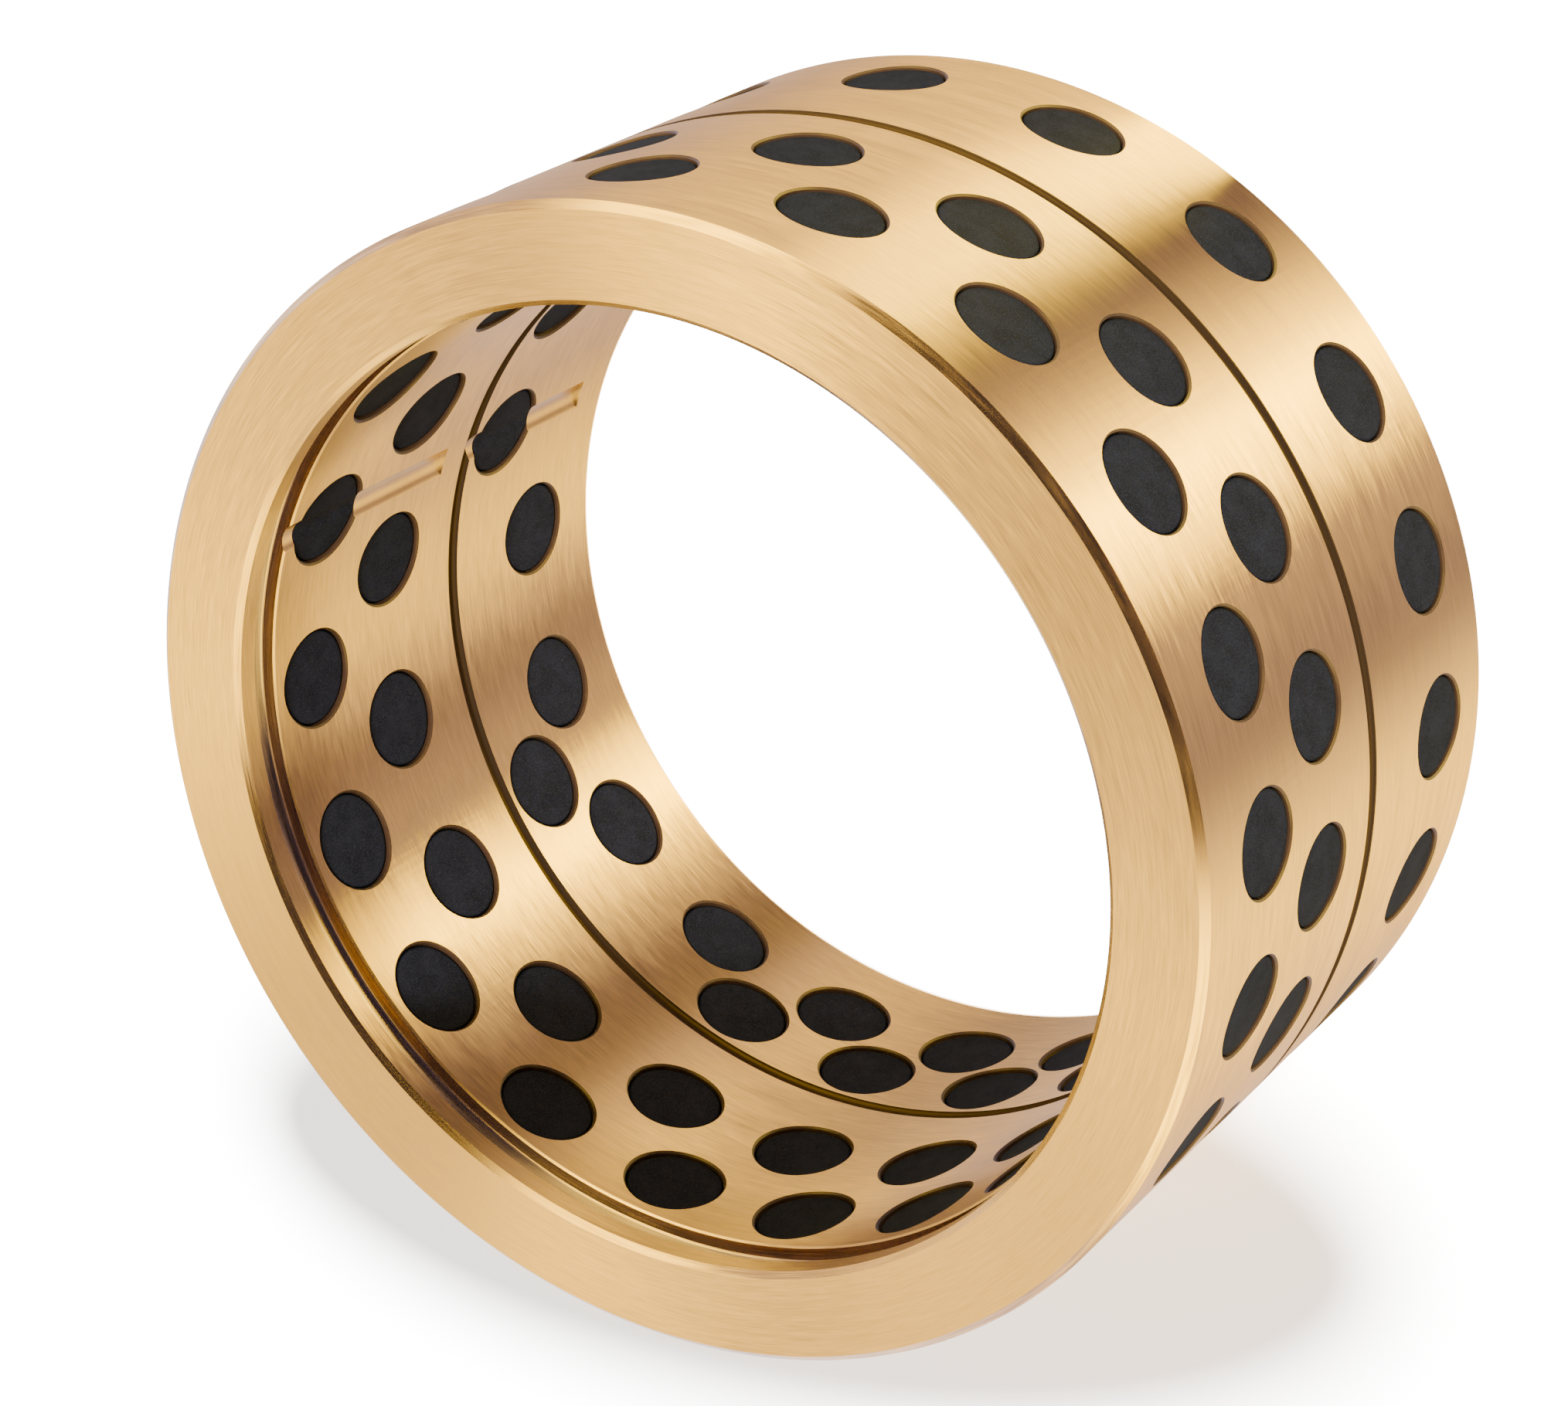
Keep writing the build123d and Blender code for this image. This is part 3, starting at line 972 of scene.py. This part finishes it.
def key_light():
    """A broad soft key light, far enough off to light the whole floor evenly."""
    data = bpy.data.lights.new("key light", "SUN")
    data.angle = math.radians(KEY_WIDTH)
    data.energy = KEY_POWER
    light = bpy.data.objects.new("key light", data)
    bpy.context.scene.collection.objects.link(light)
    light.location = pointing(KEY_AZIMUTH, KEY_ELEVATION)
    light.rotation_euler = (-light.location).to_track_quat("-Z", "Y").to_euler()
    light.visible_glossy = False


def shadow_flag():
    """A card out of sight in the key light, which draws the soft shadow out along the floor."""
    toward_key = pointing(KEY_AZIMUTH, KEY_ELEVATION)
    place = Vector(FLAG_SHADOW + (0,)) + toward_key * (FLAG_HEIGHT / toward_key.z)
    deselect_all()
    bpy.ops.mesh.primitive_circle_add(
        vertices=FLAG_STEPS, radius=1, fill_type="NGON", location=place,
        rotation=(0, 0, math.radians(FLAG_TURN)))
    flag = bpy.context.object
    flag.name = flag.data.name = "shadow_flag"
    flag.scale = FLAG_HALF_SIZES + (1,)
    flag.visible_camera = flag.visible_diffuse = flag.visible_glossy = False


class BUSHING_OT_set_stage(bpy.types.Operator):
    """Sets the floor, the studio light and the camera"""

    bl_idname = "bushing.set_stage"
    bl_label = "Set the stage"

    def execute(self, context):
        stage = context.scene.bushing_stage
        pale_floor(stage, context.scene.bushing_sizes.bore_radius)
        studio_surround(stage)
        table_glint(context.scene.bushing_sizes.outside_radius)
        key_light()
        shadow_flag()
        data = bpy.data.cameras.new("camera")
        camera = bpy.data.objects.new("camera", data)
        context.scene.collection.objects.link(camera)
        camera.location = CAMERA_PLACE
        camera.rotation_euler = [math.radians(turn) for turn in CAMERA_TURN]
        data.lens = CAMERA_LENS
        data.clip_start = CAMERA_CLIP
        context.scene.camera = camera
        return {"FINISHED"}


# ---------------------------------------------------------------- add-on


class BUSHING_PT_panel(bpy.types.Panel):
    """Lists the steps that make the bushing"""

    bl_idname = "BUSHING_PT_panel"
    bl_label = "Graphite plugged bushing"
    bl_space_type = "VIEW_3D"
    bl_region_type = "UI"
    bl_category = "Bushing"

    def draw(self, context):
        scene = context.scene
        for settings in (scene.bushing_sizes, scene.bushing_finishes, scene.bushing_stage):
            for label in settings.__annotations__:
                self.layout.prop(settings, label)
        for operator in STEPS:
            self.layout.operator(operator.bl_idname)


STEPS = (BUSHING_OT_make_sleeve, BUSHING_OT_finish_plugs, BUSHING_OT_set_stage)
SETTINGS = {"bushing_sizes": SleeveSizes, "bushing_finishes": Finishes, "bushing_stage": Stage}


def register():
    for settings in SETTINGS.values():
        bpy.utils.register_class(settings)
    for operator in STEPS + (BUSHING_PT_panel,):
        bpy.utils.register_class(operator)
    for label, settings in SETTINGS.items():
        setattr(bpy.types.Scene, label, bpy.props.PointerProperty(type=settings))


def unregister():
    for label in SETTINGS:
        delattr(bpy.types.Scene, label)
    for operator in (BUSHING_PT_panel,) + STEPS[::-1]:
        bpy.utils.unregister_class(operator)
    for settings in SETTINGS.values():
        bpy.utils.unregister_class(settings)


def main():
    register()
    tool_marks_group()
    grain_group()
    bpy.ops.bushing.make_sleeve()
    bpy.ops.bushing.finish_plugs()
    bpy.ops.bushing.set_stage()


if __name__ == "__main__":
    main()
